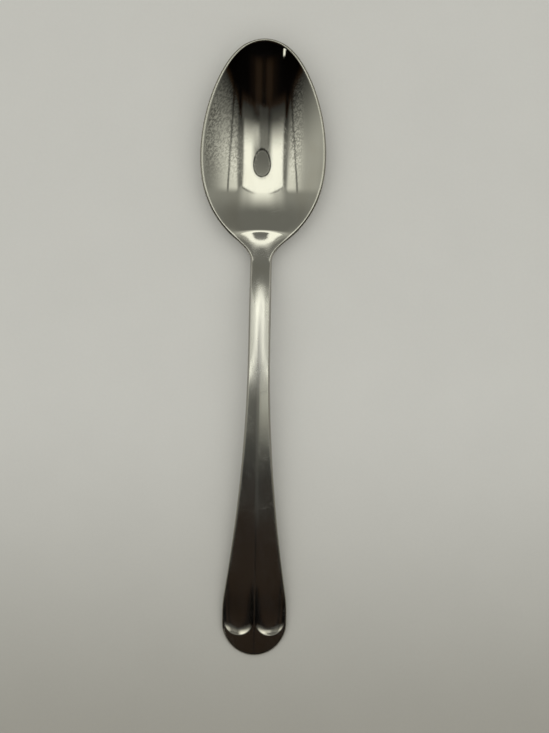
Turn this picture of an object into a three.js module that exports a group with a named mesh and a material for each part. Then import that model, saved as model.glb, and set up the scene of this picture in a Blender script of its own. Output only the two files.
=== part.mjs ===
// A teaspoon with an egg-shaped bowl and a fluted handle, forged from one steel blank.
// Millimetres, +Z up. It lies on its back along Y with the bowl's tip at +Y, and the origin is on
// the table, midway along its length. Bowl and handle are two zones that meet face to face in the neck.

import * as THREE from "three";
import { ParametricGeometry } from "three/addons/geometries/ParametricGeometry.js";
import { mergeVertices } from "three/addons/utils/BufferGeometryUtils.js";

const { clamp, lerp, smoothstep } = THREE.MathUtils;

// Bowl
const BOWL_LENGTH = 47.4; // tip to heel, where the oval of the bowl closes at the neck
const BOWL_WIDTH = 28.4; // across the rim
const BOWL_DEPTH = 6.4; // hollow below the rim
const BOWL_WALL = 1.2; // steel under the deepest place
const BOWL_REST_CUT = 0.15; // worn flat where the back of the bowl rests on the table
const WIDEST_SHIFT = 2.4; // widest place, from mid bowl towards the heel
const RIM_LAND = 0.55; // top of the rim, from the outline to the hollow
const RIM_EDGE = 0.9; // steel at the rim
const RIM_LIFT = 3.6; // rim at the tip, above the rim at the heel
const RIM_LIP = 0.2; // rounding between the rim and the hollow
const TIP_BLUNTNESS = 0.18; // fuller than an ellipse at the tip, as a share of its squared width
const TIP_POWER = 6; // more keeps that fullness closer to the tip
const HEEL_PINCH = 0.46; // slimmer than an ellipse at the heel, likewise
const HEEL_POWER = 3;
const HEEL_LAND = 1.5; // from the heel to where the middle of the hollow would reach the rim
const LANDING_DEPTH = 1.5; // hollow below the rim where it levels out before the neck
const LANDING_HALF = 12.0; // from the middle to where the landing would run out sideways
const LANDING_EASE = 2.5; // softness of the corner between the hollow and its landing

// Handle
const HANDLE_LENGTH = 92.6; // heel to end
const HANDLE_WIDTH = 14.8; // at its widest, near the end
const NECK_WIDTH = 4.9;
const NECK_THICKNESS = 3.2;
const FOOT_THICKNESS = 2.2; // where the underside comes down to the table
const FOOT_LENGTH = 5.0; // flat underside at the end, which rests on the table
const FLARE_START = 20.4; // from the heel to where the stem starts to widen
const FLARE_END = 12.3; // from the end to where the widening stops
const END_ROUND = 7.6; // length of the rounded end
const CORNER_EASE = 2.5; // softness of the corner between the widening and the rounded end
const SHOULDER_EASE = 5.3; // softness of the corner between the bowl and the neck
const STEM_FLANK = 1.2; // how far past its own width the stem's underside would reach the top
const STEM_POWER = 4; // power of the stem's section underneath: more is flatter
const HEEL_EASE = 3.0; // softness where the stem's underside runs into the back of the bowl

// Side view of the handle: a steep rise to the brow, a gentle crest, and a long fall to the foot
const RISE_START = 1.6; // from the heel back to the start of the rise
const RISE_EASE = 6.0; // run in which the top takes on the curve of the stem
const NECK_BEND = 1.3; // softness of the corner between landing and rise
const BROW_DISTANCE = 8.0; // from the heel to where the steep rise ends
const BROW_HEIGHT = 10.1;
const BROW_BEND = 2.0; // softness of the corner there
const CREST_DISTANCE = 19.6; // from the heel to where brow and fall would meet
const CREST_HEIGHT = 11.9; // above the rounded crest
const CREST_BEND = 2.4; // softness of the corner there
const FALL_BOW = 0.4; // bow of the fall above a straight line
const STEM_CROWN = 0.85; // drop of the stem's top from the middle to the edges
const ROOF_START = 18.6; // from the heel to where the stem's round top starts to turn into a ridge
const ROOF_EASE = 30.0; // run in which it turns
const ROOF_SLOPE = 0.05; // fall of the handle's top for each mm away from the ridge
const RIDGE_ROUND = 0.25; // rounding of the ridge

// Flutes: two shallow channels along the handle, with a ridge between them
const FLUTE_DEPTH = 0.18; // where they are widest
const FLUTE_SLANT = 0.03; // growth of that depth for each mm away from the ridge
const FLUTE_START = 23.7; // from the heel to where they begin
const FLUTE_EASE = 14.0; // run in which they grow
const FLUTE_PAD = 4.9; // plain pad between their round ends and the end of the handle
const FLUTE_MARGIN = 0.8; // plain band along the edges
const RIDGE_WIDTH = 0.3;
const FLUTE_POWER = 6; // power of a flute's section: 2 is a plain arc, more is a flatter floor

const EDGE_ROUND = 0.8; // width of the rounding along every edge
const NECK_JOIN = 5.0; // from the heel to the plane where bowl and handle meet

// Fineness of the skin
const AROUND = 52;
const BOWL_ROWS = 40;
const HANDLE_ROWS = 60;
const SLOPE_STEP = 0.001;
const WELD = 0.0001;

// Stations along the spoon
const TIP_Y = (BOWL_LENGTH + HANDLE_LENGTH) / 2;
const BOWL_MID_Y = TIP_Y - BOWL_LENGTH / 2;
const WIDEST_Y = BOWL_MID_Y - WIDEST_SHIFT;
const HEEL_Y = TIP_Y - BOWL_LENGTH;
const RISE_Y = HEEL_Y + RISE_START;
const JOIN_Y = HEEL_Y - NECK_JOIN;
const BROW_Y = HEEL_Y - BROW_DISTANCE;
const CREST_Y = HEEL_Y - CREST_DISTANCE;
const FLARE_START_Y = HEEL_Y - FLARE_START;
const ROOF_START_Y = HEEL_Y - ROOF_START;
const FLUTE_START_Y = HEEL_Y - FLUTE_START;
const END_Y = HEEL_Y - HANDLE_LENGTH;
const FLARE_END_Y = END_Y + FLARE_END;
const END_ROUND_Y = END_Y + END_ROUND;
const FOOT_Y = END_Y + FOOT_LENGTH;

const FULL_DEPTH = BOWL_DEPTH + BOWL_WALL;
// How far the rim's tilt brings the lowest place of the bowl's back down
const TILT_SINK = RIM_LIFT ** 2 / (16 * (FULL_DEPTH - RIM_EDGE));
const RIM_HEIGHT = FULL_DEPTH + TILT_SINK - BOWL_REST_CUT; // at the widest place

// The lesser of two values, with their corner rounded over a difference of ease.
function softMin(a, b, ease) {
  const nearness = Math.max(ease - Math.abs(a - b), 0);
  return Math.min(a, b) - nearness ** 2 / (4 * ease);
}

function softMax(a, b, ease) {
  return -softMin(-a, -b, ease);
}

// Squared half-width of the bowl's oval, drawn in from the outline by inset. It is negative past the ends.
function ovalSquared(y, inset) {
  const halfLength = BOWL_LENGTH / 2 - inset;
  const along = (y - BOWL_MID_Y) / halfLength;
  const swept = along + (WIDEST_SHIFT / halfLength) * (1 - along ** 2);
  const toTip = clamp(swept, 0, 1);
  const toHeel = clamp(-swept, 0, 1);
  const fullness = 1 + TIP_BLUNTNESS * toTip ** TIP_POWER - HEEL_PINCH * toHeel ** HEEL_POWER;
  return (BOWL_WIDTH / 2 - inset) ** 2 * (1 - swept ** 2) * fullness;
}

// Half-width of the stem as it widens, without the rounded end.
function flareHalf(y) {
  const run = Math.max((FLARE_START_Y - y) / (FLARE_START_Y - FLARE_END_Y), 0);
  return (NECK_WIDTH + (HANDLE_WIDTH - NECK_WIDTH) * run ** 2) / 2;
}

// Squared half-width of the spoon's outline.
function outlineSquared(y) {
  if (y > BOWL_MID_Y) return ovalSquared(y, 0);
  const intoEnd = Math.max((END_ROUND_Y - y) / END_ROUND, 0);
  const rounded = (HANDLE_WIDTH / 2) ** 2 * (1 - intoEnd ** 2);
  const handle = softMin(flareHalf(y) ** 2, rounded, CORNER_EASE ** 2);
  return softMax(ovalSquared(y, 0), handle, SHOULDER_EASE ** 2);
}

// Distance from a point inside the outline to its edge, close to the edge.
function edgeDistance(x, y) {
  const rise = outlineSquared(y + SLOPE_STEP) - outlineSquared(y - SLOPE_STEP);
  return (outlineSquared(y) - x ** 2) / Math.hypot(2 * x, rise / (2 * SLOPE_STEP), SLOPE_STEP);
}

function rimHeight(y) {
  return RIM_HEIGHT + (RIM_LIFT / BOWL_LENGTH) * (y - WIDEST_Y);
}

// Squared half-width of the hollow, which is the outline drawn in by the rim's land.
function hollowSquared(y) {
  if (y > WIDEST_Y) return ovalSquared(y, RIM_LAND);
  return Math.max(Math.sqrt(Math.max(outlineSquared(y), 0)) - RIM_LAND, 0) ** 2;
}

// The same for the depth along the middle, which stays even on the landing before the neck.
function depthSquared(x, y) {
  if (y > WIDEST_Y) return ovalSquared(y, RIM_LAND);
  const widest = BOWL_WIDTH / 2 - RIM_LAND;
  const toHeel = ovalSquared(y, HEEL_LAND) * (widest / (BOWL_WIDTH / 2 - HEEL_LAND)) ** 2;
  const narrowed = Math.max(1 - (x / LANDING_HALF) ** 2, 0);
  const landing = (LANDING_DEPTH / BOWL_DEPTH) * widest ** 2 * narrowed;
  return softMax(toHeel, landing, LANDING_EASE ** 2);
}

function hollowHeight(x, y) {
  const inside = hollowSquared(y);
  const steepened = y > WIDEST_Y ? 1 : depthSquared(x, y) / Math.max(inside, SLOPE_STEP ** 2);
  const sunk = (steepened * (inside - x ** 2)) / (BOWL_WIDTH / 2 - RIM_LAND) ** 2;
  return rimHeight(y) - BOWL_DEPTH * sunk;
}

function backHeight(x, y) {
  const sunk = (ovalSquared(y, 0) - x ** 2) / (BOWL_WIDTH / 2) ** 2;
  return rimHeight(y) - RIM_EDGE - (FULL_DEPTH - RIM_EDGE) * sunk;
}

// Height of the handle's arch along its middle.
function archHeight(y) {
  const landing = rimHeight(RISE_Y) - LANDING_DEPTH;
  const rise = lerp(landing, BROW_HEIGHT, (RISE_Y - y) / (RISE_Y - BROW_Y));
  const crown = lerp(BROW_HEIGHT, CREST_HEIGHT, (BROW_Y - y) / (BROW_Y - CREST_Y));
  const descent = (CREST_Y - y) / (CREST_Y - FOOT_Y);
  const fall = lerp(CREST_HEIGHT, FOOT_THICKNESS, descent) + 4 * FALL_BOW * descent * (1 - descent);
  return softMin(softMin(rise, crown, BROW_BEND), fall, CREST_BEND);
}

// The handle's top before the flutes are cut: round on the stem, and roofed further on.
function stemHeight(x, y) {
  const roofed = smoothstep(ROOF_START_Y - y, 0, ROOF_EASE);
  const rounded = smoothstep(RISE_Y - y, 0, RISE_EASE) * (1 - roofed);
  const roundDrop = STEM_CROWN * (x / flareHalf(y)) ** 2;
  const roofDrop = ROOF_SLOPE * (Math.hypot(x, RIDGE_ROUND) - RIDGE_ROUND);
  return archHeight(y) - rounded * roundDrop - roofed * roofDrop;
}

// Thickness of the stem: it thins from the neck to the foot, and the other way it runs out under the bowl.
function stemThickness(y) {
  const toFoot = clamp((RISE_Y - y) / (RISE_Y - FOOT_Y), 0, 1);
  const toBowl = clamp((y - RISE_Y) / (BOWL_MID_Y - RISE_Y), 0, 1);
  return lerp(lerp(NECK_THICKNESS, FOOT_THICKNESS, toFoot), RIM_EDGE, toBowl);
}

function stemUnderHeight(x, y) {
  const across = x / (flareHalf(y) + STEM_FLANK);
  const crown = softMax(rimHeight(y), archHeight(y), NECK_BEND);
  return crown - stemThickness(y) * (1 - across ** STEM_POWER);
}

// Half the width of one flute at a station of the handle.
function fluteHalf(y) {
  return (Math.sqrt(Math.max(outlineSquared(y), 0)) - FLUTE_MARGIN - RIDGE_WIDTH / 2) / 2;
}

const FLUTE_END_HALF = fluteHalf(END_ROUND_Y);
const FLUTE_END_Y = END_Y + FLUTE_PAD + FLUTE_END_HALF; // centre of the flutes' round ends

function fluteSink(x, y) {
  if (y > FLUTE_START_Y) return 0;
  const half = y > FLUTE_END_Y ? fluteHalf(y) : FLUTE_END_HALF;
  const sideways = Math.abs(x) - RIDGE_WIDTH / 2 - half;
  const pastEnd = Math.max(FLUTE_END_Y - y, 0);
  const reach = Math.hypot(sideways, pastEnd) / half;
  const grown = (smoothstep(FLUTE_START_Y - y, 0, FLUTE_EASE) * half) / FLUTE_END_HALF;
  return (FLUTE_DEPTH + FLUTE_SLANT * Math.abs(x)) * grown * Math.max(1 - reach ** FLUTE_POWER, 0);
}

// The hollow with its rim, and the handle's top that rises out of it.
function topHeight(x, y) {
  const bowl = softMin(hollowHeight(x, y), rimHeight(y), RIM_LIP);
  const handle = stemHeight(x, y) - fluteSink(x, y);
  return softMax(bowl, handle, NECK_BEND);
}

// The underside, kept at least the rim's thickness below the top's edge, and never below the table.
function underHeight(x, y) {
  const under = softMin(backHeight(x, y), stemUnderHeight(x, y), HEEL_EASE);
  const edge = Math.max(rimHeight(y), stemHeight(x, y));
  return Math.max(Math.min(under, edge - RIM_EDGE), 0);
}

// A point of the skin. The turn goes over the top from one edge to the other, and back underneath.
// Close to the edge, top and underside are drawn together into a rounding.
function skinPoint(turn, y, target) {
  const across = Math.cos(turn);
  const x = across * Math.sqrt(Math.max(outlineSquared(y), 0));
  const inward = clamp(edgeDistance(x, y) / EDGE_ROUND, 0, 1);
  const fullness = Math.sqrt(1 - (1 - inward) ** 2);
  const top = topHeight(x, y);
  const under = underHeight(x, y);
  const middle = (top + under) / 2;
  const side = Math.sin(turn) >= 0 ? top : under;
  target.set(x, y, lerp(middle, side, fullness));
  return middle;
}

// One zone of the spoon, from its outer end to the joining plane in the neck, closed there by a flat face.
function zoneGeometry(outerY, rows, spacing) {
  const stacks = rows + 1;
  const skin = (around, along, target) => {
    const row = along * stacks;
    const y = lerp(outerY, JOIN_Y, spacing(Math.min(row / rows, 1)));
    const turn = 2 * Math.PI * around;
    const middle = skinPoint(outerY > JOIN_Y ? turn : Math.PI - turn, y, target);
    target.z = lerp(target.z, middle, Math.max(row - rows, 0));
  };
  return closedSkin(new ParametricGeometry(skin, AROUND, stacks));
}

// The same surface with its seams welded and its collapsed triangles taken out.
function closedSkin(surface) {
  surface.deleteAttribute("normal");
  surface.deleteAttribute("uv");
  const geometry = mergeVertices(surface, WELD);
  const corners = geometry.index.array;
  const kept = [];
  for (let i = 0; i < corners.length; i += 3) {
    const [a, b, c] = corners.slice(i, i + 3);
    if (a !== b && b !== c && c !== a) kept.push(a, b, c);
  }
  geometry.setIndex(kept);
  geometry.computeVertexNormals();
  return geometry;
}

function fineAtBothEnds(t) {
  return (1 - Math.cos(Math.PI * t)) / 2;
}

function fineAtOuterEnd(t) {
  return 1 - Math.cos((Math.PI / 2) * t);
}

function namedMesh(name, geometry, material) {
  const mesh = new THREE.Mesh(geometry, material);
  mesh.name = name;
  return mesh;
}

const polishedSteel = new THREE.MeshStandardMaterial({ color: 0xb9b6ae, roughness: 0.12, metalness: 1.0 });
const satinSteel = new THREE.MeshStandardMaterial({ color: 0xa9a59c, roughness: 0.32, metalness: 1.0 });

const teaspoon = new THREE.Group();
teaspoon.add(namedMesh("bowl", zoneGeometry(TIP_Y, BOWL_ROWS, fineAtBothEnds), polishedSteel));
teaspoon.add(namedMesh("handle", zoneGeometry(END_Y, HANDLE_ROWS, fineAtOuterEnd), satinSteel));

export default teaspoon;
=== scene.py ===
"""Steel teaspoon with a polished bowl and a worn satin handle, on a pale table under studio light."""

from math import pi, radians

import bmesh
import bpy
import numpy as np
from bpy.props import FloatProperty, FloatVectorProperty, PointerProperty
from bpy.types import Operator, Panel, PropertyGroup
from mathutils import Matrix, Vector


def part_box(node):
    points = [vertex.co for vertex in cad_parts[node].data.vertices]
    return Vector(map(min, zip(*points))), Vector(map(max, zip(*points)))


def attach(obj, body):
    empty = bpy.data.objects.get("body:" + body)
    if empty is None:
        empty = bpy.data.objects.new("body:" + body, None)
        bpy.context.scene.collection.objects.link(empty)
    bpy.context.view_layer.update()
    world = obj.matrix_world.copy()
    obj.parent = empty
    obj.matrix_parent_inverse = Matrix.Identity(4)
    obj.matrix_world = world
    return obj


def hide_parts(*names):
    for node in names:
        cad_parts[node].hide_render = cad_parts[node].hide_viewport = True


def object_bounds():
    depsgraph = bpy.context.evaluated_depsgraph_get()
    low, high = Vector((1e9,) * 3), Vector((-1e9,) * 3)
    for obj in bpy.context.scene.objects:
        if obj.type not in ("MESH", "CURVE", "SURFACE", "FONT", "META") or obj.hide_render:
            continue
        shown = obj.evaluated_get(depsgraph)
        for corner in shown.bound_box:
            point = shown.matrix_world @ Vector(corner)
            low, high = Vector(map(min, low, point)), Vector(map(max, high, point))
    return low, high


bl_info = {
    "name": "Teaspoon",
    "version": (1, 0, 0),
    "blender": (4, 5, 0),
    "location": "3D View > Sidebar > Teaspoon",
    "description": "Makes a steel teaspoon, its table and its studio light",
    "category": "Add Mesh",
}

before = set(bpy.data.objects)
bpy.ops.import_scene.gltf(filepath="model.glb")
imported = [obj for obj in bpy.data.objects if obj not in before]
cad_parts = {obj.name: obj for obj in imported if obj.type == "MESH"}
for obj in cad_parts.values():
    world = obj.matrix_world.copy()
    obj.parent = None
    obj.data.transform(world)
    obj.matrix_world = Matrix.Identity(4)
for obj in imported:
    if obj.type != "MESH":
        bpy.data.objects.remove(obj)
CAD_BOX = [list(corner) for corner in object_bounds()]

MM = 0.001
DEGREES = 180 / pi  # in one radian

# Fineness of the skin
AROUND = 256
BOWL_ROWS = 220
HANDLE_ROWS = 280
WELD = 1e-7  # points closer than this are joined
SLOPE_STEP = 1e-6  # step over which slopes are taken, and the least that a length is divided by
WEAR_LAYER = "edge_wear"  # 1 on the edge of the spoon, 0 away from it

# Powers and shares of the spoon's formulas
TIP_BLUNTNESS = 0.18  # fuller than an ellipse at the tip, as a share of its squared width
TIP_POWER = 6
HEEL_PINCH = 0.46  # slimmer than an ellipse at the heel, likewise
HEEL_POWER = 3
STEM_POWER = 4  # section of the stem's underside, more is flatter
ROOF_SLOPE = 0.08  # fall of the handle's top for each unit away from the ridge
FLUTE_SLANT = 0.01  # growth of a flute's depth for each unit away from the ridge
FLUTE_POWER = 5  # section of a flute, 2 is a plain arc, more has a flatter floor and steeper sides
FLUTE_END_POWER = 3  # the same for the slope at its round end


def mm(*values):
    """Millimetres, turned into metres."""
    return tuple(value * MM for value in values)


def length(label, millimetres, note):
    """A property that holds a length, in metres."""
    return FloatProperty(
        name=label, description=note, default=millimetres * MM, min=0.0, precision=5, unit="LENGTH"
    )


def place(label, millimetres, note):
    """A property that holds a coordinate, in metres."""
    return FloatProperty(name=label, description=note, default=millimetres * MM, precision=5, unit="LENGTH")


def share(label, default, note):
    """A property that holds a share from 0 to 1."""
    return FloatProperty(name=label, description=note, default=default, min=0.0, max=1.0, subtype="FACTOR")


def level(label, default, note):
    """A property that holds a brightness, where 1 is white."""
    return FloatProperty(name=label, description=note, default=default, min=0.0, max=4.0)


def colour(label, default, note):
    """A property that holds a linear colour."""
    return FloatVectorProperty(
        name=label, description=note, default=default, size=3, min=0.0, max=1.0, subtype="COLOR"
    )


def node_size(node, axis):
    """Size of a CAD node along an axis, in millimetres."""
    low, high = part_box(node)
    return (high[axis] - low[axis]) / MM


class SpoonShape(PropertyGroup):
    """Sizes of the spoon."""

    bowl_length: length("Bowl length", 47.4, "From the tip to the heel, where its oval closes at the neck")
    bowl_width: length("Bowl width", node_size("bowl", 0), "Across the rim")
    bowl_depth: length("Bowl depth", 6.4, "Hollow below the rim")
    bowl_wall: length("Bowl wall", 1.2, "Steel under the deepest place")
    rest_cut: length("Rest cut", 0.15, "Worn flat where the back of the bowl rests on the table")
    widest_shift: length("Widest shift", 2.4, "Widest place, from the middle of the bowl towards the heel")
    rim_land: length("Rim land", 0.55, "Top of the rim, from the outline to the hollow")
    rim_edge: length("Rim edge", 0.9, "Steel at the rim")
    rim_lift: length("Rim lift", 3.6, "Rim at the tip, above the rim at the heel")
    rim_lip: length("Rim lip", 0.2, "Rounding between the rim and the hollow")
    handle_width: length("Handle width", node_size("handle", 0), "At its widest, near the end")
    neck_width: length("Neck width", 4.9, "Width of the stem where it leaves the bowl")
    neck_thickness: length("Neck thickness", 3.2, "Steel in the neck")
    foot_thickness: length("Foot thickness", 2.2, "Steel where the handle comes down to the table")
    foot_length: length("Foot length", 5.0, "Flat underside at the end, which rests on the table")
    flare_start: length("Flare start", 20.4, "From the heel to where the stem starts to widen")
    flare_end: length("Flare end", 12.3, "From the end to where the widening stops")
    end_round: length("End round", 7.6, "Length of the rounded end")
    corner_ease: length("Corner ease", 2.5, "Softness of the corners of the rounded end")
    shoulder_ease: length("Shoulder ease", 5.3, "Softness of the corners between bowl and neck")
    stem_flank: length("Stem flank", 1.2, "How far past its width the stem's underside would reach the top")
    heel_ease: length("Heel ease", 3.0, "Softness where the stem's underside runs into the bowl's back")
    heel_land: length("Heel land", 1.5, "From the heel to where the hollow's middle would reach the rim")
    landing_depth: length("Landing depth", 1.5, "Hollow below the rim where it levels out before the neck")
    landing_half: length("Landing half", 12.0, "From the middle to where the landing would end sideways")
    landing_ease: length("Landing ease", 2.5, "Softness of the corner between the hollow and its landing")
    rise_start: length("Rise start", 1.6, "From the heel back to the start of the handle's rise")
    rise_ease: length("Rise ease", 6.0, "Run in which the top takes on the curve of the stem")
    neck_bend: length("Neck bend", 1.3, "Softness of the corner between landing and rise")
    brow_distance: length("Brow distance", 8.0, "From the heel to where the steep rise ends")
    brow_height: length("Brow height", 10.1, "Height there")
    brow_bend: length("Brow bend", 2.0, "Softness of the corner there")
    crest_distance: length("Crest distance", 19.6, "From the heel to where rise and fall would meet")
    crest_height: length("Crest height", 11.65, "Height where rise and fall would meet")
    crest_bend: length("Crest bend", 1.5, "Softness of the corner between rise and fall")
    fall_bow: length("Fall bow", 0.8, "Bow of the fall above a straight line")
    stem_crown: length("Stem crown", 0.85, "Drop of the stem's top from the middle to the edges")
    roof_start: length("Roof start", 19.0, "From the heel to where the round top starts to turn to a ridge")
    roof_ease: length("Roof ease", 12.0, "Run in which it turns")
    ridge_round: length("Ridge round", 0.25, "Rounding of the ridge")
    flute_depth: length("Flute depth", 0.36, "Depth of the flutes beside the ridge, where they are widest")
    flute_start: length("Flute start", 72.0, "From the heel to where the flutes begin")
    flute_ease: length("Flute ease", 14.0, "Run in which the flutes grow")
    flute_turn: length("Flute turn", 2.0, "Half the run in which a flute's section turns into its end")
    flute_pad: length("Flute pad", 4.9, "Plain pad between the flutes' round ends and the end")
    flute_margin: length("Flute margin", 0.4, "Plain band along the edges")
    ridge_width: length("Ridge width", 0.2, "Ridge between the flutes")
    edge_round: length("Edge round", 0.55, "Width of the rounding along every edge")
    worn_edge: length("Worn edge", 1.3, "Width of the band of wear along every edge")


class SteelFinish(PropertyGroup):
    """Colours and polish of the steel."""

    steel: colour("Steel", (0.63, 0.615, 0.575), "Colour of the clean metal")
    worn: colour("Worn steel", (0.80, 0.785, 0.74), "Colour of the metal on worn edges and on the crest")
    stain: colour("Stain", (0.57, 0.545, 0.49), "Colour of the faint stains")
    # Painted reflection: a brown tint on the end of the handle, in place of the dark brown that its steel
    # mirrors
    painted_reflection: colour("Film", (0.60, 0.46, 0.32), "Colour of the thin brown film on the end of the handle")
    # Painted shade: a thin dark line along every edge, in place of the shade seen there
    painted_edge_shade: colour("Grime", (0.24, 0.225, 0.19), "Colour of the thin dark line along every edge")
    polished: share("Polished roughness", 0.035, "Roughness in the bowl")
    satin: share("Satin roughness", 0.07, "Roughness of the handle")
    grain: share("Bowl grain", 0.30, "Strength of the fine pitting on the bowl's walls")
    brushing: share("Brushing", 0.20, "Strength of the lengthwise lines on the handle")


class StudioLight(PropertyGroup):
    """Table, light and camera."""

    table: colour("Table", (0.525, 0.52, 0.475), "Colour of the table top")
    # Painted shade: the table darkens to this colour beyond the handle's end
    painted_table_shade: colour("Table in shade", (0.29, 0.28, 0.24), "Its colour beyond the handle's end")
    ceiling: level("Ceiling", 1.45, "Brightness of the two soft lights overhead")
    room: level("Room", 1.0, "Brightness of the light that falls on the table from all sides")
    lamp_tint: colour("Lamp tint", (0.985, 0.995, 0.865), "Colour of the soft lights")
    dark_tint: colour("Dark tint", (1.0, 0.58, 0.27), "Colour of the dark end of the room")
    camera_height: length("Camera height", 285.0, "Height of the camera above the table")
    camera_x: place("Camera X", 3.5, "Place of the camera across the spoon")
    camera_y: place("Camera Y", -3.37, "Place of the camera along the spoon")
    camera_turn: FloatProperty(
        name="Camera turn", description="Turn of the picture", default=radians(1.15), subtype="ANGLE"
    )
    lens: FloatProperty(name="Lens", description="Focal length in millimetres", default=60.6)


def mix(a, b, amount):
    """The value at amount between a and b."""
    return a + (b - a) * amount


def smooth_step(value, low, high):
    """0 below low, 1 above high, and an S-curve between them."""
    t = np.clip((value - low) / (high - low), 0, 1)
    return t * t * (3 - 2 * t)


def soft_min(a, b, ease):
    """The lesser of two values, with their corner rounded over a difference of ease."""
    nearness = np.maximum(ease - np.abs(a - b), 0)
    return np.minimum(a, b) - nearness ** 2 / (4 * ease)


def soft_max(a, b, ease):
    """The greater of two values, rounded likewise."""
    return -soft_min(-a, -b, ease)


class SpoonForm:
    """The spoon's surface as formulas of x and y, in metres."""

    def __init__(self, sizes):
        self.sizes = sizes
        self.end_y = CAD_BOX[0][1]
        self.tip_y = CAD_BOX[1][1]
        self.join_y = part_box("handle")[1][1]
        self.mid_y = self.tip_y - sizes.bowl_length / 2
        self.widest_y = self.mid_y - sizes.widest_shift
        self.heel_y = self.tip_y - sizes.bowl_length
        self.rise_y = self.heel_y + sizes.rise_start
        self.brow_y = self.heel_y - sizes.brow_distance
        self.crest_y = self.heel_y - sizes.crest_distance
        self.flare_start_y = self.heel_y - sizes.flare_start
        self.roof_start_y = self.heel_y - sizes.roof_start
        self.flute_start_y = self.heel_y - sizes.flute_start
        self.flare_end_y = self.end_y + sizes.flare_end
        self.end_round_y = self.end_y + sizes.end_round
        self.foot_y = self.end_y + sizes.foot_length
        self.full_depth = sizes.bowl_depth + sizes.bowl_wall
        back_depth = self.full_depth - sizes.rim_edge
        # The back is tilted with the rim, so its lowest place lies about this far below its middle
        tilt_sink = sizes.rim_lift ** 2 / (16 * back_depth)
        self.widest_rim = self.full_depth + tilt_sink - sizes.rest_cut
        self.flute_end_half = self.flute_half(self.end_round_y)
        self.flute_end_y = self.end_y + sizes.flute_pad + self.flute_end_half

    def oval_squared(self, y, inset):
        """Squared half-width of the bowl's oval, drawn in by inset and negative past its ends."""
        half_length = self.sizes.bowl_length / 2 - inset
        along = (y - self.mid_y) / half_length
        swept = along + self.sizes.widest_shift / half_length * (1 - along ** 2)
        to_tip = np.clip(swept, 0, 1)
        to_heel = np.clip(-swept, 0, 1)
        fullness = 1 + TIP_BLUNTNESS * to_tip ** TIP_POWER - HEEL_PINCH * to_heel ** HEEL_POWER
        return (self.sizes.bowl_width / 2 - inset) ** 2 * (1 - swept ** 2) * fullness

    def flare_half(self, y):
        """Half-width of the stem as it widens, without the rounded end."""
        run = np.maximum((self.flare_start_y - y) / (self.flare_start_y - self.flare_end_y), 0)
        return mix(self.sizes.neck_width, self.sizes.handle_width, run ** 2) / 2

    def outline_squared(self, y):
        """Squared half-width of the spoon's outline."""
        into_end = np.maximum((self.end_round_y - y) / self.sizes.end_round, 0)
        rounded = (self.sizes.handle_width / 2) ** 2 * (1 - into_end ** 2)
        handle = soft_min(self.flare_half(y) ** 2, rounded, self.sizes.corner_ease ** 2)
        oval = self.oval_squared(y, 0)
        return np.where(y > self.mid_y, oval, soft_max(oval, handle, self.sizes.shoulder_ease ** 2))

    def edge_distance(self, x, y):
        """Distance from a point inside the outline to its edge, close to the edge."""
        rise = self.outline_squared(y + SLOPE_STEP) - self.outline_squared(y - SLOPE_STEP)
        steepness = np.hypot(np.hypot(2 * x, rise / (2 * SLOPE_STEP)), SLOPE_STEP)
        return (self.outline_squared(y) - x ** 2) / steepness

    def rim_height(self, y):
        """Height of the rim's top, which rises towards the tip."""
        return self.widest_rim + self.sizes.rim_lift / self.sizes.bowl_length * (y - self.widest_y)

    def hollow_squared(self, y):
        """Squared half-width of the hollow, which is the outline drawn in by the rim's land."""
        land = self.sizes.rim_land
        half = np.sqrt(np.maximum(self.outline_squared(y), 0))
        beside_neck = np.maximum(half - land, 0) ** 2
        return np.where(y > self.widest_y, self.oval_squared(y, land), beside_neck)

    def depth_squared(self, x, y):
        """The same for the depth along the middle, which stays even on the landing before the neck."""
        sizes = self.sizes
        widest = sizes.bowl_width / 2 - sizes.rim_land
        scale = widest / (sizes.bowl_width / 2 - sizes.heel_land)
        to_heel = self.oval_squared(y, sizes.heel_land) * scale ** 2
        narrowed = np.maximum(1 - (x / sizes.landing_half) ** 2, 0)
        landing = sizes.landing_depth / sizes.bowl_depth * widest ** 2 * narrowed
        before_neck = soft_max(to_heel, landing, sizes.landing_ease ** 2)
        return np.where(y > self.widest_y, self.oval_squared(y, sizes.rim_land), before_neck)

    def hollow_height(self, x, y):
        """Height of the hollow."""
        widest = self.sizes.bowl_width / 2 - self.sizes.rim_land
        inside = self.hollow_squared(y)
        steepened = self.depth_squared(x, y) / np.maximum(inside, SLOPE_STEP ** 2)
        sunk = np.where(y > self.widest_y, 1, steepened) * (inside - x ** 2) / widest ** 2
        return self.rim_height(y) - self.sizes.bowl_depth * sunk

    def back_height(self, x, y):
        """Height of the bowl's back."""
        edge = self.sizes.rim_edge
        sunk = (self.oval_squared(y, 0) - x ** 2) / (self.sizes.bowl_width / 2) ** 2
        return self.rim_height(y) - edge - (self.full_depth - edge) * sunk

    def arch_height(self, y):
        """Height of the handle's arch along its middle: a steep rise, a gentle crest and a long fall."""
        sizes = self.sizes
        landing = self.rim_height(self.rise_y) - sizes.landing_depth
        rise = mix(landing, sizes.brow_height, (self.rise_y - y) / (self.rise_y - self.brow_y))
        crown = mix(sizes.brow_height, sizes.crest_height, (self.brow_y - y) / (self.brow_y - self.crest_y))
        descent = (self.crest_y - y) / (self.crest_y - self.foot_y)
        bow = 4 * sizes.fall_bow * descent * (1 - descent)  # fall_bow in the middle, none at the ends
        fall = mix(sizes.crest_height, sizes.foot_thickness, descent) + bow
        return soft_min(soft_min(rise, crown, sizes.brow_bend), fall, sizes.crest_bend)

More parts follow.
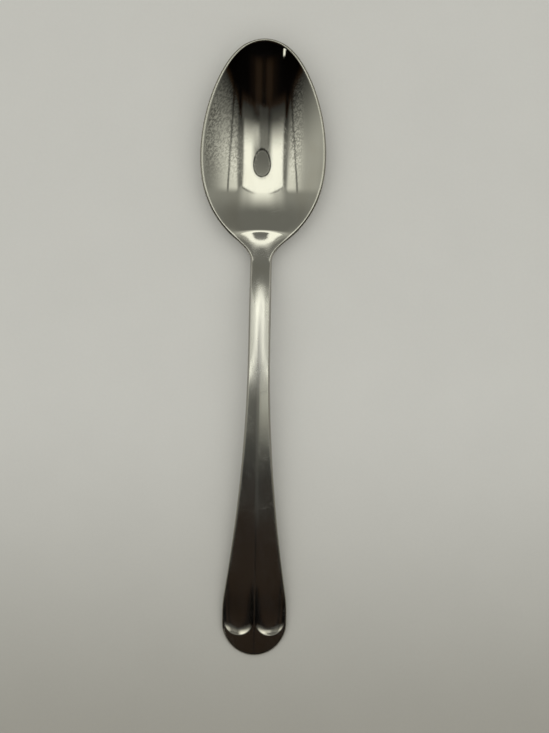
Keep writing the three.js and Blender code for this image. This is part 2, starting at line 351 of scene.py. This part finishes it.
    def stem_height(self, x, y):
        """The handle's top before the flutes are cut: round on the stem and roofed further on."""
        sizes = self.sizes
        roofed = smooth_step(self.roof_start_y - y, 0, sizes.roof_ease)
        rounded = smooth_step(self.rise_y - y, 0, sizes.rise_ease) * (1 - roofed)
        round_drop = sizes.stem_crown * (x / self.flare_half(y)) ** 2
        roof_drop = ROOF_SLOPE * (np.hypot(x, sizes.ridge_round) - sizes.ridge_round)
        return self.arch_height(y) - rounded * round_drop - roofed * roof_drop

    def stem_thickness(self, y):
        """It thins from the neck to the foot, and the other way it runs out under the bowl."""
        sizes = self.sizes
        to_foot = np.clip((self.rise_y - y) / (self.rise_y - self.foot_y), 0, 1)
        to_bowl = np.clip((y - self.rise_y) / (self.mid_y - self.rise_y), 0, 1)
        return mix(mix(sizes.neck_thickness, sizes.foot_thickness, to_foot), sizes.rim_edge, to_bowl)

    def flute_half(self, y):
        """Half the width of one flute."""
        half = np.sqrt(np.maximum(self.outline_squared(y), 0))
        return (half - self.sizes.flute_margin - self.sizes.ridge_width / 2) / 2

    def flute_sink(self, x, y):
        """Depth of the two flutes, whose ends are round."""
        sizes = self.sizes
        half = np.where(y > self.flute_end_y, self.flute_half(y), self.flute_end_half)
        sideways = np.abs(x) - sizes.ridge_width / 2 - half
        past_end = np.maximum(self.flute_end_y - y, 0)
        reach = np.hypot(sideways, past_end) / np.maximum(half, SLOPE_STEP)
        grown = smooth_step(self.flute_start_y - y, 0, sizes.flute_ease) * half / self.flute_end_half
        depth = sizes.flute_depth + FLUTE_SLANT * np.abs(x)
        ending = smooth_step(self.flute_end_y - y, -sizes.flute_turn, sizes.flute_turn)
        power = mix(FLUTE_POWER, FLUTE_END_POWER, ending)
        return depth * grown * np.maximum(1 - reach ** power, 0)

    def top_height(self, x, y):
        """The hollow with its rim, and the handle's top that rises out of it."""
        bowl = soft_min(self.hollow_height(x, y), self.rim_height(y), self.sizes.rim_lip)
        handle = self.stem_height(x, y) - self.flute_sink(x, y)
        return soft_max(bowl, handle, self.sizes.neck_bend)

    def under_height(self, x, y):
        """The underside, at least the rim's thickness below the top's edge and never below the table."""
        across = x / (self.flare_half(y) + self.sizes.stem_flank)
        crown = soft_max(self.rim_height(y), self.arch_height(y), self.sizes.neck_bend)
        stem = crown - self.stem_thickness(y) * (1 - across ** STEM_POWER)
        under = soft_min(self.back_height(x, y), stem, self.sizes.heel_ease)
        edge = np.maximum(self.rim_height(y), self.stem_height(x, y))
        return np.maximum(np.minimum(under, edge - self.sizes.rim_edge), 0)

    def skin(self, turn, y):
        """Points of the skin, over the top for the first half of the turn and back underneath."""
        x = np.cos(turn) * np.sqrt(np.maximum(self.outline_squared(y), 0))
        distance = self.edge_distance(x, y)
        inward = np.clip(distance / self.sizes.edge_round, 0, 1)
        fullness = np.sqrt(1 - (1 - inward) ** 2)
        top = self.top_height(x, y)
        under = self.under_height(x, y)
        side = np.where(np.sin(turn) >= 0, top, under)
        height = mix((top + under) / 2, side, fullness)
        wear = 1 - np.clip(distance / self.sizes.worn_edge, 0, 1)
        return np.stack([x, y, height], axis=1), wear


def zone_mesh(name, form, outer_y, rows):
    """Skin of the spoon from an outer end to the joining plane in the neck, closed there by a flat face."""
    work = bmesh.new()
    bmesh.ops.create_grid(work, x_segments=AROUND, y_segments=rows, size=1.0)
    wear_layer = work.verts.layers.float.new(WEAR_LAYER)
    verts = list(work.verts)
    around = np.array([vert.co.x for vert in verts])
    along = np.array([vert.co.y for vert in verts])
    fine_at_both_ends = (1 - np.cos(pi * (along + 1) / 2)) / 2
    stations = mix(outer_y, form.join_y, fine_at_both_ends)
    points, wear = form.skin(pi * (around + 1), stations)
    for vert, point, worn in zip(verts, points, wear):
        vert.co = point
        vert[wear_layer] = worn
    bmesh.ops.remove_doubles(work, verts=work.verts, dist=WELD)
    ring = [edge for edge in work.edges if edge.is_boundary]
    for edge in ring:
        edge.smooth = False
    bmesh.ops.edgeloop_fill(work, edges=ring)
    bmesh.ops.recalc_face_normals(work, faces=work.faces)
    for face in work.faces:
        face.smooth = True
    mesh = bpy.data.meshes.new(name)
    work.to_mesh(mesh)
    work.free()
    return mesh


# Sockets of a Mix node that mixes colours
MIX_AMOUNT = 0
MIX_FIRST = 6
MIX_SECOND = 7
MIX_RESULT = 2


class Value:
    """A number in a node tree. Arithmetic on it adds Math nodes."""

    def __init__(self, graph, socket):
        self.graph = graph
        self.socket = socket

    def math(self, operation, *others):
        """Adds a Math node that starts with this number."""
        return self.graph.math(operation, self, *others)

    def __add__(self, other):
        return self.math("ADD", other)

    def __sub__(self, other):
        return self.math("SUBTRACT", other)

    def __mul__(self, other):
        return self.math("MULTIPLY", other)

    def __truediv__(self, other):
        return self.math("DIVIDE", other)

    __radd__ = __add__
    __rmul__ = __mul__

    def __rsub__(self, other):
        return self.graph.math("SUBTRACT", other, self)

    def __rtruediv__(self, other):
        return self.graph.math("DIVIDE", other, self)

    def __neg__(self):
        return self * -1.0

    def __abs__(self):
        return self.math("ABSOLUTE")


class Graph:
    """A node tree that is written as expressions."""

    def __init__(self, tree):
        self.tree = tree
        tree.nodes.clear()

    def node(self, kind, settings=None, inputs=None, output=0):
        """Adds a node, sets it up, fills or links its sockets, and gives back one of its outputs."""
        made = self.tree.nodes.new(kind)
        for name, setting in (settings or {}).items():
            setattr(made, name, setting)
        for name, value in (inputs or {}).items():
            if isinstance(value, Value):
                self.tree.links.new(value.socket, made.inputs[name])
            else:
                made.inputs[name].default_value = value
        if not made.outputs:
            return None
        return Value(self, made.outputs[output])

    def math(self, operation, *values):
        """Adds a Math node."""
        return self.node("ShaderNodeMath", {"operation": operation}, dict(enumerate(values)))

    def axis(self, vector, name):
        """One coordinate of a vector."""
        return self.node("ShaderNodeSeparateXYZ", inputs={0: vector}, output=name)

    def scaled(self, paint, factor):
        """A colour times a number."""
        return self.node("ShaderNodeVectorMath", {"operation": "SCALE"}, {0: paint, "Scale": factor})

    def rise(self, value, low, high):
        """0 below low, 1 above high, and an S-curve between them."""
        return self.node(
            "ShaderNodeMapRange",
            {"interpolation_type": "SMOOTHSTEP", "clamp": True},
            {"Value": value, "From Min": low, "From Max": high},
        )

    def band(self, value, low, high, soft):
        """1 between low and high, with soft edges."""
        return self.rise(value, low - soft, low + soft) * (1 - self.rise(value, high - soft, high + soft))

    def tinted(self, first, second, amount):
        """A colour at amount between two colours."""
        first, second = (paint if isinstance(paint, Value) else (*paint, 1.0) for paint in (first, second))
        inputs = {MIX_AMOUNT: amount, MIX_FIRST: first, MIX_SECOND: second}
        return self.node("ShaderNodeMix", {"data_type": "RGBA", "clamp_factor": True}, inputs, MIX_RESULT)

    def noise(self, where, fineness, detail=2.0, roughness=0.5, turn=0.0):
        """Noise with its features per metre given for each axis, turned about the upright axis."""
        inputs = {"Vector": where, "Rotation": (0.0, 0.0, turn)}
        turned = self.node("ShaderNodeMapping", {"vector_type": "POINT"}, inputs)
        stretched = self.node("ShaderNodeVectorMath", {"operation": "MULTIPLY"}, {0: turned, 1: fineness})
        inputs = {"Vector": stretched, "Scale": 1.0, "Detail": detail, "Roughness": roughness}
        return self.node("ShaderNodeTexNoise", {"noise_dimensions": "3D"}, inputs)


# From here on, a pair is where a soft edge starts and ends, and a triple is the two edges of a band and the
# softness of both.

# Patterns in the steel, as features for each metre across, along and up
LINES = (5200.0, 170.0, 5200.0)
STREAKS = (900.0, 45.0, 900.0)
CLOUDS = (130.0, 90.0, 130.0)
PITS = (2600.0, 1500.0, 2600.0)
PITS_TURN = 0.7  # in radians
HAIRS = (2600.0, 120.0, 2600.0)
HAIR_PATCHES = (240.0, 110.0, 240.0)
HAIR_TURNS = ((0.25, 0.55), (-0.6, -0.24), (1.25, 1.59))  # of the hairs and of their patches, in radians
NOISE_MIDDLE = 0.5

# Places of the marks: from the heel or the crest towards the tip, or from the middle of the spoon as said
SATIN_FROM_HEEL = mm(3.5, 9.0)
DULL_FROM_HEEL = mm(-2.5, 3.0, 2.0)
WORN_FROM_CREST = mm(-9.0, 12.0, 6.0)
# Where the painted brown reflection on the handle's end comes in
PAINTED_REFLECTION_TO_END = mm(22.0, 48.0)  # from the middle towards the handle's end
HAIRS_TO_TIP = mm(55.0, 60.0)  # from the middle towards the tip, as are the next two
PITS_START = mm(37.0, 48.0)
PITS_STOP = mm(58.0, 65.0)
PITS_TO_LEFT = mm(4.5, 6.5)
PITS_TO_RIGHT = mm(6.2, 8.8, 0.8)

# Steps in the patterns and in the wear layer
HAIR_EDGE = (0.0, 0.016)
HAIR_PATCH_EDGE = (0.52, 0.66)
PIT_EDGE = (0.36, 0.64)
PIT_CLOUDS = (0.38, 0.58)
PIT_WEAR = (0.0, 0.4)
STAIN_CLOUDS = (0.5, 0.72)
EDGE_WEAR = (0.25, 0.95)
EDGE_STREAKS = (0.3, 0.6)
# Where the painted shade along every edge starts and ends in the wear layer
EDGE_SHADE_STEP = (0.62, 0.82)

# Strength of each mark in its place
RIGHT_PITS = 0.8
THINNEST_PITS = 0.45
STAIN = 0.5
WORN_EDGE_TINT = 0.5
WORN_CREST_TINT = 0.9
# Strength of the painted brown reflection on the handle's end
PAINTED_REFLECTION_TINT = 0.12
# Strength of the painted shade along every edge
EDGE_SHADE_TINT = 0.8
PIT_SHADES = (0.55, 1.45)

# What each mark adds to the roughness
CREST_ROUGHNESS = 0.27
CREST_STREAKS = 0.5
LINE_ROUGHNESS = 0.05
STREAK_ROUGHNESS = 0.03
HEEL_ROUGHNESS = 0.16
HAIR_ROUGHNESS = 0.10
PIT_ROUGHNESS = 0.05
EDGE_ROUGHNESS = 0.06
STAIN_ROUGHNESS = 0.03
LEAST_ROUGHNESS = 0.02

# Height of the relief, and the part that each mark has in it
RELIEF_HEIGHT = 0.02 * MM
LINE_RELIEF = 0.25
CREST_LINE_RELIEF = 1.2
PIT_RELIEF = 1.6
HAIR_RELIEF = 0.08


def hair_scratches(graph, where, y):
    """Hair-thin scratches in three directions, each in scattered patches, and none near the tip."""
    scratches = 0.0
    for turn, patch_turn in HAIR_TURNS:
        fibre = graph.noise(where, HAIRS, detail=0.0, turn=turn)
        patch = graph.noise(where, HAIR_PATCHES, detail=1.0, turn=patch_turn)
        hair = 1 - graph.rise(abs(fibre - NOISE_MIDDLE), *HAIR_EDGE)
        scratches = scratches + hair * graph.rise(patch, *HAIR_PATCH_EDGE)
    return scratches * (1 - graph.rise(y, *HAIRS_TO_TIP))


def pitted_walls(graph, x, y, wear, clouds):
    """Where the walls of the hollow are finely pitted, which is more on one side."""
    walls = graph.rise(-x, *PITS_TO_LEFT) + RIGHT_PITS * graph.band(x, *PITS_TO_RIGHT)
    lengthwise = graph.rise(y, *PITS_START) * (1 - graph.rise(y, *PITS_STOP))
    patches = mix(THINNEST_PITS, 1.0, graph.rise(clouds, *PIT_CLOUDS))
    return walls * lengthwise * patches * (1 - graph.rise(wear, *PIT_WEAR))


def steel_material(name, finish, form):
    """Steel that goes from mirror polish in the bowl to satin on the handle, scratched and worn by use, with
    painted shade along every edge and a painted brown reflection on the handle's end.
    """
    material = bpy.data.materials.new(name)
    material.use_nodes = True
    graph = Graph(material.node_tree)
    where = graph.node("ShaderNodeTexCoord", output="Object")
    x = graph.axis(where, "X")
    y = graph.axis(where, "Y")
    wear = graph.node("ShaderNodeAttribute", {"attribute_name": WEAR_LAYER}, output="Fac")

    lines = graph.noise(where, LINES, detail=3.0, roughness=0.6) - NOISE_MIDDLE
    streaks = graph.noise(where, STREAKS)
    clouds = graph.noise(where, CLOUDS)
    pits = graph.noise(where, PITS, detail=1.5, roughness=0.6, turn=PITS_TURN)
    scratches = hair_scratches(graph, where, y)
    pitted = pitted_walls(graph, x, y, wear, clouds)
    satin = 1 - graph.rise(y - form.heel_y, *SATIN_FROM_HEEL)
    heel = graph.band(y - form.heel_y, *DULL_FROM_HEEL)
    crest = graph.band(y - form.crest_y, *WORN_FROM_CREST)
    worn_edge = graph.rise(wear, *EDGE_WEAR) * graph.rise(streaks, *EDGE_STREAKS)
    stained = STAIN * graph.rise(clouds, *STAIN_CLOUDS)

    # Each tint lies over the ones before it, on the clean metal
    paint = finish.steel
    for tint, amount in (
        (finish.stain, stained),
        (finish.worn, WORN_EDGE_TINT * worn_edge + WORN_CREST_TINT * crest),
        # Painted brown reflection on the handle's end
        (finish.painted_reflection, PAINTED_REFLECTION_TINT * graph.rise(-y, *PAINTED_REFLECTION_TO_END)),
        # Painted shade along every edge
        (finish.painted_edge_shade, EDGE_SHADE_TINT * graph.rise(wear, *EDGE_SHADE_STEP)),
    ):
        paint = graph.tinted(paint, tint, amount)
    flecks = mix(1.0, mix(*PIT_SHADES, graph.rise(pits, *PIT_EDGE)), pitted)
    paint = graph.scaled(paint, flecks)

    uneven = streaks - NOISE_MIDDLE
    dull = finish.satin + crest * (CREST_ROUGHNESS + CREST_STREAKS * uneven)
    roughness = mix(finish.polished, dull, satin)
    roughness = roughness + satin * (LINE_ROUGHNESS * lines + STREAK_ROUGHNESS * uneven)
    for mark, added in (
        (heel, HEEL_ROUGHNESS),
        (scratches, HAIR_ROUGHNESS),
        (pitted, PIT_ROUGHNESS),
        (worn_edge, EDGE_ROUGHNESS),
        (stained, STAIN_ROUGHNESS),
    ):
        roughness = roughness + added * mark
    roughness = roughness.math("MAXIMUM", LEAST_ROUGHNESS)

    relief = finish.brushing * lines * satin * (LINE_RELIEF + CREST_LINE_RELIEF * crest)
    relief = relief + finish.grain * PIT_RELIEF * pitted * (pits - NOISE_MIDDLE)
    relief = relief - HAIR_RELIEF * scratches
    normal = graph.node(
        "ShaderNodeBump", inputs={"Strength": 1.0, "Distance": RELIEF_HEIGHT, "Height": relief}
    )

    shader = graph.node(
        "ShaderNodeBsdfPrincipled",
        inputs={"Base Color": paint, "Metallic": 1.0, "Roughness": roughness, "Normal": normal},
    )
    graph.node("ShaderNodeOutputMaterial", inputs={"Surface": shader})
    return material


# Table top: its patterns as features for each metre, what they add to its tone, and where its painted shade
# ends
TABLE_HALF = 4.0
TABLE_MOTTLE = (60.0, 60.0, 60.0)
TABLE_SPECKS = (1500.0, 1500.0, 1500.0)
MOTTLE_TONE = 0.06
SPECK_TONE = 0.04
TABLE_SHADE = mm(-105.0, -5.0)
TABLE_ROUGHNESS = 0.6
TABLE_GLOSS = 0.1


def table_material(light):
    """Pale smooth table top, a little mottled, with painted shade that darkens it beyond the end of the
    handle.
    """
    material = bpy.data.materials.new("pale_table")
    material.use_nodes = True
    graph = Graph(material.node_tree)
    where = graph.node("ShaderNodeTexCoord", output="Object")
    mottle = graph.noise(where, TABLE_MOTTLE, detail=4.0, roughness=0.6) - NOISE_MIDDLE
    specks = graph.noise(where, TABLE_SPECKS) - NOISE_MIDDLE
    # Painted shade, darker beyond the end of the handle
    paint = graph.tinted(light.painted_table_shade, light.table, graph.rise(graph.axis(where, "Y"), *TABLE_SHADE))
    paint = graph.scaled(paint, 1 + MOTTLE_TONE * mottle + SPECK_TONE * specks)
    shader = graph.node(
        "ShaderNodeBsdfPrincipled",
        inputs={"Base Color": paint, "Roughness": TABLE_ROUGHNESS, "Specular IOR Level": TABLE_GLOSS},
    )
    graph.node("ShaderNodeOutputMaterial", inputs={"Surface": shader})
    return material


# The room that the steel mirrors. A brightness of 1 is white. Angles are from straight up, in degrees: along
# is towards the bowl's tip, across is to the right, width is across to either side, and side is the angle
# across as seen from the end of the handle.
LEAST_LEVEL_PART = 1e-4  # least level part of a direction, so that straight up has angles too

# Wall beyond the bowl's tip, with the glow of the lights on it
WALL = 0.20
WALL_SHEEN = 0.13
WALL_SHEEN_ALONG = (30, 48)
GLOW = 0.95
GLOW_ALONG = (28, 49)
GLOW_WIDTH = (26, 40)
GLOW_DIMMING = 0.6
GLOW_DIMMING_WIDTH = (8, 26)

# Side lights, brightest near their inner edges, each crossed by a thin dark bar that leans
LEFT_LIGHT = {
    "levels": (0.50, 0.98),
    "start": (38, 46),
    "fade": (48, 68),
    "bar": (50.4, 52.8, 0.8),
    "lean": 0.21,
}
RIGHT_LIGHT = {
    "levels": (0.24, 0.95),
    "start": (38, 45),
    "fade": (46, 82),
    "bar": (51.4, 53.8, 0.8),
    "lean": 0.14,
}
BAR_SHADE = 0.75
LEFT_TO_RIGHT = (-1, 1)
SIDES_START = (-15, 21)
SIDES_START_LEAN = 0.25
SIDES_WIDTH = (38.7, 43.7)
SIDES_SKEW = 0.3

# Two lights overhead, a little askew, with a dark seam to each side and a faint gleam before they start
SKEW_WIDTH = 20
LIGHTS_START = -12.6
LIGHTS_SOFT = 9.2
LIGHTS_SKEW = 0.4
SEAM = 0.24
SEAM_WIDTH = (31, 35.5)
SEAM_SKEW = 0.6
GLEAM = 0.14
GLEAM_ALONG = (-27, -14)
GLEAM_WIDTH = (33, 38)

# Boom that holds the camera, lit from the right
BOOM_MIDDLE = 2
BOOM_HALF_WIDTH = 17
BOOM_REACH = 15
BOOM_EDGE = (0.6, 1.2)
BOOM = 0.048
BOOM_FLANKS = 0.029
BOOM_FLANKS_WIDTH = (5, 9)
BOOM_NEAR = 0.19
BOOM_NEAR_ALONG = (-22, -11)
BOOM_LEFT = 0.08
BOOM_LEFT_WIDTH = (7, 10)
BOOM_FAR = 0.12
BOOM_FAR_ALONG = (-10, -2)
BOOM_RIGHT = 0.48
BOOM_RIGHT_WIDTH = (4, 10.5)
BOOM_RIGHT_ALONG = (-19.5, -13.5)
BOOM_RIGHT_DIMMING = 0.7
BOOM_RIGHT_DIMMING_ALONG = (-10, -4)
BOOM_START = (-25, -22.5)
BOOM_START_LEAN = 0.05

# Round front of the camera with its dark ring
FRONT_ACROSS = 1.5
FRONT_HALF_ACROSS = 14.0
FRONT_ALONG = 3.8
FRONT_HALF_ALONG = 9.2
FRONT = (0.17, 0.26)
FRONT_SHADING = (-0.8, 0.9)
FRONT_EDGE = (0.88, 0.95)
RING = 0.03
RING_BAND = (0.95, 1.12, 0.05)

# Far end of the lit ceiling, which bends away to the sides, and a thin shade beyond it
CEILING_END = 30
CEILING_BEND = 7
CEILING_BEND_WIDTH = 33
CEILING_STEP = 4
CEILING_STEP_WIDTH = (34, 42)
CEILING_SOFT = 1.2
CEILING_SOFTER = 2.4
CEILING_SOFTER_WIDTH = (34, 44)
SHADE_LINE = 0.6
SHADE_LINE_PAST_END = (0.5, 2.5, 0.8)
SHADE_LINE_START = (8, 22)
SHADE_LINE_STOP = (30, 36)

# Dark end of the room, with what little light there is, and a small bright window
DARK = 0.0008
DUSK = 0.014
DUSK_ALONG = (-36, -22, 2.5)
DUSK_WIDTH = (4, 14, 3)
DEEP_DUSK = 0.005
DEEP_DUSK_ALONG = (-37, -26, 2)
DEEP_DUSK_WIDTH = (16, 28)
WINDOW = 1.3
WINDOW_ACROSS = (-32.6, -29.6, 0.6)
WINDOW_ALONG = (-42, -36, 0.6)
DARK_TO_LAMP_TINT = (0.016, 0.036)

# Pale all round near the horizon
HORIZON = 0.42
HORIZON_START = (78, 86)

# Even light for all that isn't a mirror, most of it from straight above
EVEN_ALL_ROUND = 0.2
EVEN_FROM_ABOVE = 2.4
WHITE = (1.0, 1.0, 1.0, 1.0)

# Nearest that the camera sees
CAMERA_CLIP = 0.01


class Room:
    """The angles of a direction in the room."""

    def __init__(self, graph):
        self.rise = graph.rise
        self.band = graph.band
        direction = graph.node("ShaderNodeTexCoord", output="Generated")
        east = graph.axis(direction, "X")
        north = graph.axis(direction, "Y")
        self.up = graph.axis(direction, "Z")
        self.from_zenith = self.up.math("ARCCOSINE") * DEGREES
        level_part = (east * east + north * north).math("SQRT").math("MAXIMUM", LEAST_LEVEL_PART)
        self.across = self.from_zenith * east / level_part
        self.along = self.from_zenith * north / level_part
        self.width = abs(self.across)
        self.side = east.math("ARCTAN2", self.up) * DEGREES
        self.side_width = abs(self.side)


def wall_light(room):
    """Brightness of the wall."""
    sheen = 1 - room.rise(room.along, *WALL_SHEEN_ALONG)
    glow = (1 - room.rise(room.along, *GLOW_ALONG)) * (1 - room.rise(room.width, *GLOW_WIDTH))
    dimming = GLOW_DIMMING * room.rise(room.width, *GLOW_DIMMING_WIDTH)
    return WALL + WALL_SHEEN * sheen + GLOW * glow * (1 - dimming)


def side_light(room, outward, levels, start, fade, bar, lean):
    """Brightness of one side light."""
    lit = room.rise(outward, *start) * (1 - room.rise(outward, *fade))
    barred = room.band(outward - lean * room.along, *bar)
    return mix(*levels, lit) * (1 - BAR_SHADE * barred)


def ceiling_light(room, brightness):
    """Brightness of the lights overhead and of the side lights beyond them."""
    skew = (room.across / SKEW_WIDTH).math("MAXIMUM", -1.0).math("MINIMUM", 1.0)
    past_start = (room.along - LIGHTS_START + LIGHTS_SKEW * skew) / (LIGHTS_SOFT - LIGHTS_SKEW * skew)
    lights = mix(brightness, SEAM, room.rise(room.width + SEAM_SKEW * skew, *SEAM_WIDTH))
    lights = lights * room.rise(past_start, -1, 1)
    gleam = room.rise(room.along, *GLEAM_ALONG) * (1 - room.rise(room.width, *GLEAM_WIDTH))
    lights = lights.math("MAXIMUM", GLEAM * gleam)
    left = side_light(room, -room.side, **LEFT_LIGHT)
    right = side_light(room, room.side, **RIGHT_LIGHT)
    sides = mix(left, right, room.rise(room.side, *LEFT_TO_RIGHT))
    sides = sides * room.rise(room.along + SIDES_START_LEAN * room.side_width, *SIDES_START)
    return mix(lights, sides, room.rise(room.side_width - SIDES_SKEW * skew, *SIDES_WIDTH))


def oval_distance(across, along):
    """Distance from the middle of an oval, where 1 is its outline."""
    return (across * across + along * along).math("SQRT")


def with_boom(room, behind):
    """The boom that holds the camera, before what is behind it."""
    near = BOOM_NEAR - BOOM_LEFT * room.rise(-room.across, *BOOM_LEFT_WIDTH)
    right = room.rise(room.across, *BOOM_RIGHT_WIDTH) * room.rise(room.along, *BOOM_RIGHT_ALONG)
    right = right * (1 - BOOM_RIGHT_DIMMING * room.rise(room.along, *BOOM_RIGHT_DIMMING_ALONG))
    boom = BOOM - BOOM_FLANKS * room.rise(room.width, *BOOM_FLANKS_WIDTH)
    boom = boom + near * room.rise(room.along, *BOOM_NEAR_ALONG)
    boom = boom + BOOM_FAR * room.rise(room.along, *BOOM_FAR_ALONG) + BOOM_RIGHT * right
    boom = boom * room.rise(room.along + BOOM_START_LEAN * room.across, *BOOM_START)
    past_zenith = room.along.math("MAXIMUM", 0.0) / BOOM_REACH
    distance = oval_distance((room.across - BOOM_MIDDLE) / BOOM_HALF_WIDTH, past_zenith)
    return mix(boom, behind, room.rise(distance, *BOOM_EDGE))


def with_camera_front(room, behind):
    """The front of the camera, before what is behind it."""
    across = (room.across - FRONT_ACROSS) / FRONT_HALF_ACROSS
    along = (room.along - FRONT_ALONG) / FRONT_HALF_ALONG
    distance = oval_distance(across, along)
    ringed = mix(behind, RING, room.band(distance, *RING_BAND))
    front = mix(*FRONT, room.rise(along, *FRONT_SHADING))
    return mix(front, ringed, room.rise(distance, *FRONT_EDGE))


def room_light(room, light):
    """Brightness of the room in every direction."""
    overhead = with_camera_front(room, with_boom(room, ceiling_light(room, light.ceiling)))
    bend = (room.width / CEILING_BEND_WIDTH).math("MINIMUM", 1.0)
    step = room.rise(room.width, *CEILING_STEP_WIDTH)
    past_end = room.along - (CEILING_END - CEILING_BEND * bend * bend + CEILING_STEP * step)
    softness = CEILING_SOFT + CEILING_SOFTER * room.rise(room.width, *CEILING_SOFTER_WIDTH)
    line = room.rise(room.width, *SHADE_LINE_START) * (1 - room.rise(room.width, *SHADE_LINE_STOP))
    line = line * room.band(past_end, *SHADE_LINE_PAST_END)
    wall = wall_light(room) * (1 - SHADE_LINE * line)
    lit = mix(overhead, wall, room.rise(past_end / softness, -1, 1))

    dusk = room.band(room.along, *DUSK_ALONG) * room.band(room.width, *DUSK_WIDTH)
    deep_dusk = room.band(room.along, *DEEP_DUSK_ALONG) * (1 - room.rise(room.width, *DEEP_DUSK_WIDTH))
    lit = lit + DUSK * dusk + DEEP_DUSK * deep_dusk + DARK
    window = room.band(room.across, *WINDOW_ACROSS) * room.band(room.along, *WINDOW_ALONG)
    lit = mix(lit, WINDOW, window)
    return mix(lit, HORIZON, room.rise(room.from_zenith, *HORIZON_START))


def studio_world(light):
    """The room as the camera and the steel see it, and even light for the table."""
    world = bpy.data.worlds.new("studio")
    world.use_nodes = True
    graph = Graph(world.node_tree)
    room = Room(graph)
    lit = room_light(room, light)
    tint = graph.tinted(light.dark_tint, light.lamp_tint, graph.rise(lit, *DARK_TO_LAMP_TINT))
    mirrored = graph.node("ShaderNodeBackground", inputs={"Color": tint, "Strength": lit})
    from_above = room.up * room.up * room.up * room.up
    evenly = light.room * (EVEN_ALL_ROUND + EVEN_FROM_ABOVE * from_above)
    even = graph.node("ShaderNodeBackground", inputs={"Color": WHITE, "Strength": evenly})
    seen = 0.0
    for ray in ("Is Camera Ray", "Is Glossy Ray", "Is Transmission Ray"):
        seen = graph.node("ShaderNodeLightPath", output=ray).math("MAXIMUM", seen)
    both = graph.node("ShaderNodeMixShader", inputs={0: seen, 1: even, 2: mirrored})
    graph.node("ShaderNodeOutputWorld", inputs={"Surface": both})
    return world


def add_zone(context, form, piece, node, slot, outer_y, rows):
    """Adds one zone of the spoon, in place of its CAD node."""
    mesh = zone_mesh(piece, form, outer_y, rows)
    mesh.materials.append(steel_material(slot, context.scene.steel_finish, form))
    zone = bpy.data.objects.new(piece, mesh)
    context.scene.collection.objects.link(zone)
    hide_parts(node)
    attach(zone, "root")


class SPOON_OT_bowl(Operator):
    """Makes the polished bowl with its rim, its hollow and the root of the handle"""

    bl_idname = "spoon.bowl"
    bl_label = "Bowl"

    def execute(self, context):
        form = SpoonForm(context.scene.spoon_shape)
        add_zone(context, form, "spoon_bowl", "bowl", "polished_steel", form.tip_y, BOWL_ROWS)
        return {"FINISHED"}


class SPOON_OT_handle(Operator):
    """Makes the arched satin handle with its two flutes and its round end"""

    bl_idname = "spoon.handle"
    bl_label = "Handle"

    def execute(self, context):
        form = SpoonForm(context.scene.spoon_shape)
        add_zone(context, form, "spoon_handle", "handle", "satin_steel", form.end_y, HANDLE_ROWS)
        return {"FINISHED"}


class SPOON_OT_stage(Operator):
    """Makes the table top, the studio light and the camera"""

    bl_idname = "spoon.stage"
    bl_label = "Table, light and camera"

    def execute(self, context):
        scene = context.scene
        light = scene.studio_light
        work = bmesh.new()
        bmesh.ops.create_grid(work, x_segments=1, y_segments=1, size=TABLE_HALF)
        mesh = bpy.data.meshes.new("table_top")
        work.to_mesh(mesh)
        work.free()
        mesh.materials.append(table_material(light))
        table = bpy.data.objects.new("table_top", mesh)
        scene.collection.objects.link(table)

        scene.world = studio_world(light)
        scene.view_settings.view_transform = "Standard"

        camera = bpy.data.cameras.new("camera")
        camera.lens = light.lens
        camera.clip_start = CAMERA_CLIP
        viewer = bpy.data.objects.new("camera", camera)
        viewer.location = (light.camera_x, light.camera_y, light.camera_height)
        viewer.rotation_euler = (0.0, 0.0, light.camera_turn)
        scene.collection.objects.link(viewer)
        scene.camera = viewer
        return {"FINISHED"}


class SPOON_PT_panel(Panel):
    """Lists the spoon's sizes, finish and light"""

    bl_idname = "SPOON_PT_panel"
    bl_label = "Teaspoon"
    bl_space_type = "VIEW_3D"
    bl_region_type = "UI"
    bl_category = "Teaspoon"

    def draw(self, context):
        layout = self.layout
        for group in (context.scene.spoon_shape, context.scene.steel_finish, context.scene.studio_light):
            column = layout.column(align=True)
            for name in group.__annotations__:
                column.prop(group, name)
        for maker in (SPOON_OT_stage, SPOON_OT_bowl, SPOON_OT_handle):
            layout.operator(maker.bl_idname)


CLASSES = (
    SpoonShape,
    SteelFinish,
    StudioLight,
    SPOON_OT_bowl,
    SPOON_OT_handle,
    SPOON_OT_stage,
    SPOON_PT_panel,
)


def register():
    for cls in CLASSES:
        bpy.utils.register_class(cls)
    bpy.types.Scene.spoon_shape = PointerProperty(type=SpoonShape)
    bpy.types.Scene.steel_finish = PointerProperty(type=SteelFinish)
    bpy.types.Scene.studio_light = PointerProperty(type=StudioLight)


def unregister():
    del bpy.types.Scene.studio_light
    del bpy.types.Scene.steel_finish
    del bpy.types.Scene.spoon_shape
    for cls in reversed(CLASSES):
        bpy.utils.unregister_class(cls)


def main():
    register()
    bpy.ops.spoon.stage()
    bpy.ops.spoon.bowl()
    bpy.ops.spoon.handle()


if __name__ == "__main__":
    main()
